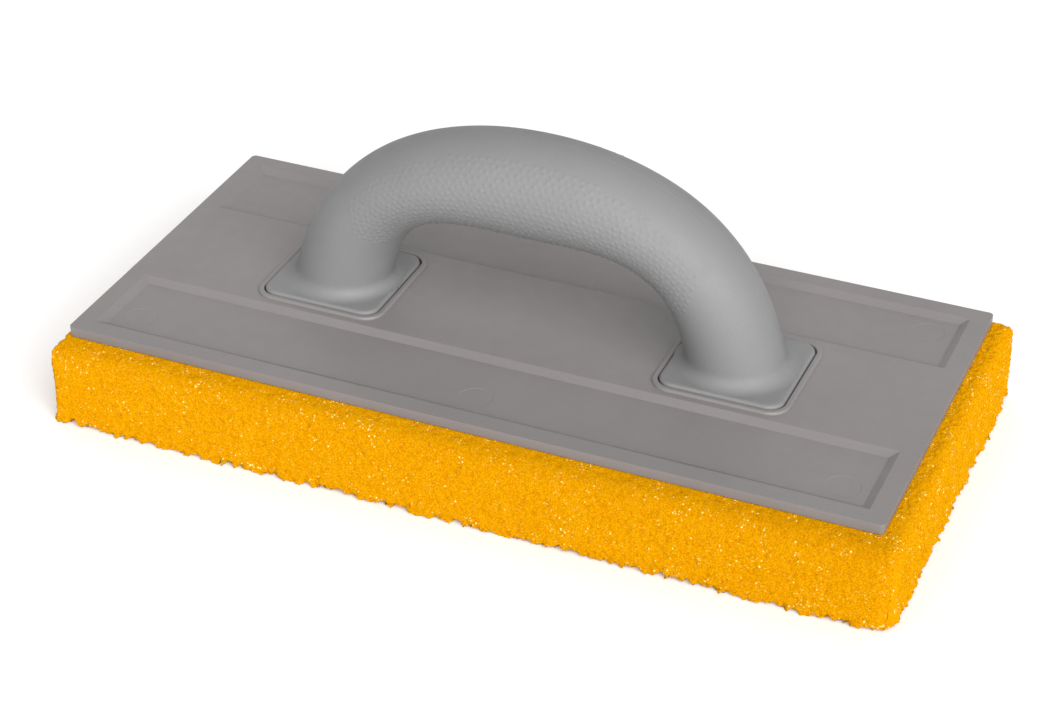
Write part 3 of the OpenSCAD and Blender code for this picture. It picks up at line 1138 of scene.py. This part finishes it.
def build_handle():
    """The two half shells, front and back, with a screw boss in each of their ends."""
    points, faces = handle_half()
    plastic = moulded_plastic("handle_plastic", HANDLE_COLOUR, HANDLE_GRAIN, HANDLE_ROUGHNESS)
    boss = (
        (0, PILOT_DEPTH - SOCKET_DEPTH),
        (PILOT_RADIUS, PILOT_DEPTH - SOCKET_DEPTH),
        (PILOT_RADIUS, -SOCKET_DEPTH),
        (BOSS_RADIUS, -SOCKET_DEPTH),
        (BOSS_RADIUS, BOSS_HEIGHT),
        (0, BOSS_HEIGHT),
    )
    for name, node, side in (("front", "handle_front_shell", 1), ("back", "handle_back_shell", -1)):
        placed = points * np.array((1, side, 1)) + np.array((HANDLE_X, HANDLE_Y, PLATE_TOP))
        around = faces if side > 0 else flipped(faces)
        shell = make_piece(f"handle_{name}", placed, around)
        for x in (-FOOT_X, FOOT_X):
            place = moved(turned(boss, HOLE_STEPS), HANDLE_X + x, PLATE_Y - side * SCREW_OFFSET, PLATE_TOP)
            cut_or_join(shell, place, "UNION")
        dress(shell, plastic, SHARP_ANGLE)
        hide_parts(node)


# ---- Screws ----


def screw_skin():
    """One countersunk tapping screw, head down, with its head's face at z = 0."""
    threaded = np.arange(THREAD_START, SCREW_LENGTH, THREAD_PITCH / THREAD_ROWS)
    heights = np.concatenate(((0, SCREW_HEAD_RIM, SCREW_HEAD_HEIGHT), threaded))
    levels = (0, SCREW_HEAD_RIM, SCREW_HEAD_HEIGHT, SCREW_LENGTH - SCREW_TIP, SCREW_LENGTH)
    core = np.interp(heights, levels, (SCREW_HEAD, SCREW_HEAD, SCREW_CORE, SCREW_CORE, SCREW_POINT))
    turns = np.arange(SCREW_STEPS) / SCREW_STEPS
    phase = (heights[:, None] / THREAD_PITCH - turns) % 1
    ridge = np.maximum(1 - np.abs(phase - 0.5) / THREAD_RIDGE, 0) * (SCREW_THREAD - SCREW_CORE)
    ramp_in = smoothstep((heights - THREAD_START) / THREAD_PITCH)
    ramp_out = smoothstep((SCREW_LENGTH - heights) / SCREW_TIP)
    radius = core[:, None] + ridge * (ramp_in * ramp_out)[:, None]
    angle = 2 * math.pi * turns
    height_grid = heights[:, None] + 0 * radius
    skin = np.stack((radius * np.cos(angle), radius * np.sin(angle), height_grid), axis=2)
    points = np.concatenate((skin.reshape(-1, 3), ((0, 0, 0), (0, 0, SCREW_LENGTH + SCREW_NOSE))))
    ids = np.arange(radius.size).reshape(radius.shape)
    faces = grid_faces(np.hstack((ids, ids[:, :1])))
    for i in range(SCREW_STEPS):
        j = (i + 1) % SCREW_STEPS
        faces.append([radius.size, int(ids[0, j]), int(ids[0, i])])
        faces.append([radius.size + 1, int(ids[-1, i]), int(ids[-1, j])])
    return points, faces


def build_screws():
    """The four screws, each with a helical thread and a cross recess in its head."""
    one, one_faces = screw_skin()
    places = [(side * FOOT_X, across) for side in (-1, 1) for across in (-SCREW_OFFSET, SCREW_OFFSET)]
    points, faces = [], []
    for i, (x, y) in enumerate(places):
        points.append(one + np.array((HANDLE_X + x, PLATE_Y + y, PLATE_BOTTOM)))
        faces += [[corner + i * len(one) for corner in face] for face in one_faces]
    screws = make_piece("screws", np.concatenate(points), faces)
    for x, y in places:
        for length, width in ((CROSS_LENGTH, CROSS_WIDTH), (CROSS_WIDTH, CROSS_LENGTH)):
            wide = rectangle(length / 2, width / 2)
            narrow = [(px * CROSS_TAPER, py * CROSS_TAPER) for px, py in wide]
            slot = lofted(((wide, -CROSS_CLEAR), (wide, 0.0), (narrow, CROSS_DEPTH)))
            cut_or_join(screws, moved(slot, HANDLE_X + x, PLATE_Y + y, PLATE_BOTTOM), "DIFFERENCE")
    dress(screws, zinc_plate(), SHARP_ANGLE)
    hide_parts("handle_screws")


# ---- Floor, lights and camera ----

# Degrees; the distance and the aim are in metres, the lens and the sensor in millimetres.
CAMERA_AZIMUTH = 22.60
CAMERA_ELEVATION = 32.57
CAMERA_ROLL = 0.476
CAMERA_DISTANCE = 0.8302
CAMERA_LENS = 89.23
CAMERA_SENSOR = 36
CAMERA_AIM = Vector((0.0016, -0.0127, 0.0300))

FLOOR_SIZE = 12.0
SKY_STRENGTH = 0.54
# Each lamp: name, strength, azimuth, elevation and softness, in degrees.
LAMPS = (
    ("key", 4.4, 38.0, 27.5, 70.0),
    ("fill", 0.5, 205.0, 8.0, 90.0),
)


def direction(azimuth, elevation):
    """Unit vector from the object towards a viewer or lamp; azimuth 0 is in front, on the -Y side."""
    a, e = math.radians(azimuth), math.radians(elevation)
    return Vector((math.sin(a) * math.cos(e), -math.cos(a) * math.cos(e), math.sin(e)))


def build_floor():
    mesh = bpy.data.meshes.new("floor")
    shape = bmesh.new()
    bmesh.ops.create_grid(shape, x_segments=4, y_segments=4, size=FLOOR_SIZE / 2)
    shape.to_mesh(mesh)
    shape.free()
    floor = add_object("floor", mesh)
    floor.data.materials.append(floor_paint())


def build_lights():
    """An even pale sky, a soft key lamp in front and to the right, and a weak low fill from behind."""
    world = bpy.data.worlds.new("studio")
    world.use_nodes = True
    sky = world.node_tree.nodes["Background"]
    sky.inputs["Color"].default_value = (1, 1, 1, 1)
    sky.inputs["Strength"].default_value = SKY_STRENGTH
    bpy.context.scene.world = world
    for name, strength, azimuth, elevation, softness in LAMPS:
        light = bpy.data.lights.new(name, "SUN")
        light.energy = strength
        light.angle = math.radians(softness)
        lamp = add_object(name, light)
        lamp.rotation_euler = direction(azimuth, elevation).to_track_quat("Z", "Y").to_euler()


def build_camera():
    lens = bpy.data.cameras.new("camera")
    lens.lens = CAMERA_LENS
    lens.sensor_width = CAMERA_SENSOR
    camera = add_object("camera", lens)
    back = direction(CAMERA_AZIMUTH, CAMERA_ELEVATION)
    level = back.to_track_quat("Z", "Y").to_matrix()
    tilt = Matrix.Rotation(math.radians(CAMERA_ROLL), 3, "Z")
    place = Matrix.Translation(CAMERA_AIM + back * CAMERA_DISTANCE)
    camera.matrix_world = place @ (level @ tilt).to_4x4()
    bpy.context.scene.camera = camera


build_sponge()
build_film()
build_plate()
build_handle()
build_screws()
build_floor()
build_lights()
build_camera()
bpy.context.scene.view_settings.view_transform = "Standard"
